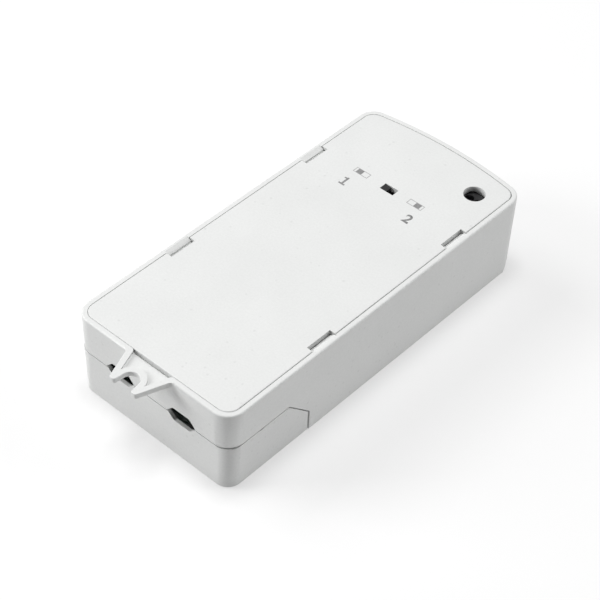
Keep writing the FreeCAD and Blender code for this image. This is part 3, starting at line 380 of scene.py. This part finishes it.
def print_slab(name, rectangles, material):
    """Printed areas: closed thin blocks in the panel's surface, one for each rectangle."""
    vertices = []
    faces = []
    for rectangle in rectangles:
        x0, x1, y0, y1 = [value * MM for value in rectangle]
        start = len(vertices)
        for z in (print_low, print_high):
            vertices += [(x0, y0, z), (x1, y0, z), (x1, y1, z), (x0, y1, z)]
        for face in ((3, 2, 1, 0), (4, 5, 6, 7), (0, 1, 5, 4), (1, 2, 6, 5), (2, 3, 7, 6), (3, 0, 4, 7)):
            faces.append(tuple(start + corner for corner in face))
    piece = shown(name, mesh_of(name, vertices, faces, material))
    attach(piece, "case")


def slider_mark(name, span, filled):
    """A pictogram of the slide switch: an empty frame with a bar where the knob stands."""
    x0, x1 = span
    low, high, line = slider_mark_low, slider_mark_high, slider_mark_line
    bars = [
        (x0, x1, low, low + line),
        (x0, x1, high - line, high),
        (x0, x0 + line, low + line, high - line),
        (x1 - line, x1, low + line, high - line),
    ]
    print_slab(name + "_frame", bars, light_ink)
    length = x1 - x0
    bar = (x0 + filled[0] * length, x0 + filled[1] * length, low + line, high - line)
    print_slab(name + "_bar", [bar], ink)


def number_one():
    """A one of three strokes: stem, foot and flag."""
    stem_left, stem_right = number_one_stem
    flag_low, flag_high = number_one_flag
    foot_top = number_low + number_one_foot
    strokes = [
        (stem_left, stem_right, foot_top, number_low + number_height),
        (number_one_left, number_one_right, number_low, foot_top),
        (number_one_left, stem_left, flag_low, flag_high),
    ]
    print_slab("number_one", strokes, ink)


def number_two():
    """A two from the plain built-in letters, set to the height of the numbers."""
    name = "number_two"
    curve = bpy.data.curves.new(name, "FONT")
    curve.body = "2"
    curve.offset = 0.025
    flat = shown(name + "_curve", curve)
    bpy.context.view_layer.update()
    mesh = bpy.data.meshes.new_from_object(flat.evaluated_get(bpy.context.evaluated_depsgraph_get()))
    bpy.data.objects.remove(flat)
    corners = [vertex.co.copy() for vertex in mesh.vertices]
    low = Vector((min(c.x for c in corners), min(c.y for c in corners), 0))
    high = Vector((max(c.x for c in corners), max(c.y for c in corners), 0))
    factor = number_height * MM / (high.y - low.y)
    aside = number_two_middle * MM - factor * (low.x + high.x) / 2
    shift = Vector((aside, number_low * MM - factor * low.y, 0))
    sheet = bmesh.new()
    sheet.from_mesh(mesh)
    bmesh.ops.remove_doubles(sheet, verts=sheet.verts, dist=1e-6)
    for vertex in sheet.verts:
        vertex.co = factor * vertex.co + shift
        vertex.co.z = print_low
    grown = bmesh.ops.extrude_face_region(sheet, geom=list(sheet.faces))
    for part in grown["geom"]:
        if isinstance(part, bmesh.types.BMVert):
            part.co.z = print_high
    bmesh.ops.recalc_face_normals(sheet, faces=sheet.faces)
    sheet.to_mesh(mesh)
    sheet.free()
    mesh.materials.clear()
    mesh.materials.append(ink)
    piece = shown(name, mesh)
    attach(piece, "case")


slider_mark("left_mark", left_mark_span, left_mark_bar)
slider_mark("right_mark", right_mark_span, right_mark_bar)
number_one()
number_two()

# The studio
floor_half = 1.6
floor_level = -0.02 * MM
floor_corners = [
    (x * floor_half, y * floor_half, floor_level) for x, y in ((-1, -1), (1, -1), (1, 1), (-1, 1))
]
floor = shown("floor", mesh_of("floor", floor_corners, [(0, 1, 2, 3)], plain_floor()))

lamp_distance = 0.9


def area_light(name, azimuth, elevation, size, power):
    """A square soft box aimed at the object. Azimuth 0 is in front of the ear, 90 on the sensor's side."""
    light = bpy.data.lights.new(name, "AREA")
    light.shape = "SQUARE"
    light.size = size
    light.energy = power
    lamp = bpy.data.objects.new(name, light)
    bpy.context.scene.collection.objects.link(lamp)
    turn = math.radians(azimuth)
    rise = math.radians(elevation)
    towards = Vector((math.sin(turn) * math.cos(rise), -math.cos(turn) * math.cos(rise), math.sin(rise)))
    lamp.location = towards * lamp_distance
    lamp.rotation_mode = "QUATERNION"
    lamp.rotation_quaternion = towards.to_track_quat("Z", "Y")


area_light("overhead_light", 225, 87, 0.3, 5.15)
area_light("left_light", -80, 45, 0.4, 2.85)
area_light("front_left_light", -50, 25, 0.4, 5.2)
area_light("rear_right_light", 135, 25, 0.4, 3.15)

world = bpy.data.worlds.new("studio_world")
world.use_nodes = True
background = world.node_tree.nodes["Background"]
background.inputs["Color"].default_value = (1, 1, 1, 1)
background.inputs["Strength"].default_value = 0.05
bpy.context.scene.world = world

# The camera, at the photograph's viewing angle
view_azimuth = math.radians(41.61)
view_elevation = math.radians(44.42)
view_roll = math.radians(1.457)
view_distance = 377.98 * MM
view_aside = -0.869 * MM
view_up = 4.657 * MM
view_origin = Vector((0, -1.1 * MM, 0))
focal_pixels = 1818.44
picture_pixels = 600

away = Vector((
    math.sin(view_azimuth) * math.cos(view_elevation),
    -math.cos(view_azimuth) * math.cos(view_elevation),
    math.sin(view_elevation),
))
level_right = Vector((0, 0, 1)).cross(away).normalized()
level_up = away.cross(level_right)
right = math.cos(view_roll) * level_right + math.sin(view_roll) * level_up
up = -math.sin(view_roll) * level_right + math.cos(view_roll) * level_up

camera_data = bpy.data.cameras.new("camera")
camera_data.sensor_width = 36.0
camera_data.lens = focal_pixels / picture_pixels * camera_data.sensor_width
camera_data.clip_start = 0.01
camera_data.clip_end = 20.0
camera = bpy.data.objects.new("camera", camera_data)
bpy.context.scene.collection.objects.link(camera)
axes = Matrix((right, up, away)).transposed()
place = view_origin + away * view_distance + right * view_aside + up * view_up
camera.matrix_world = Matrix.Translation(place) @ axes.to_4x4()
bpy.context.scene.camera = camera
bpy.context.scene.view_settings.view_transform = "Standard"

bpy.context.view_layer.update()
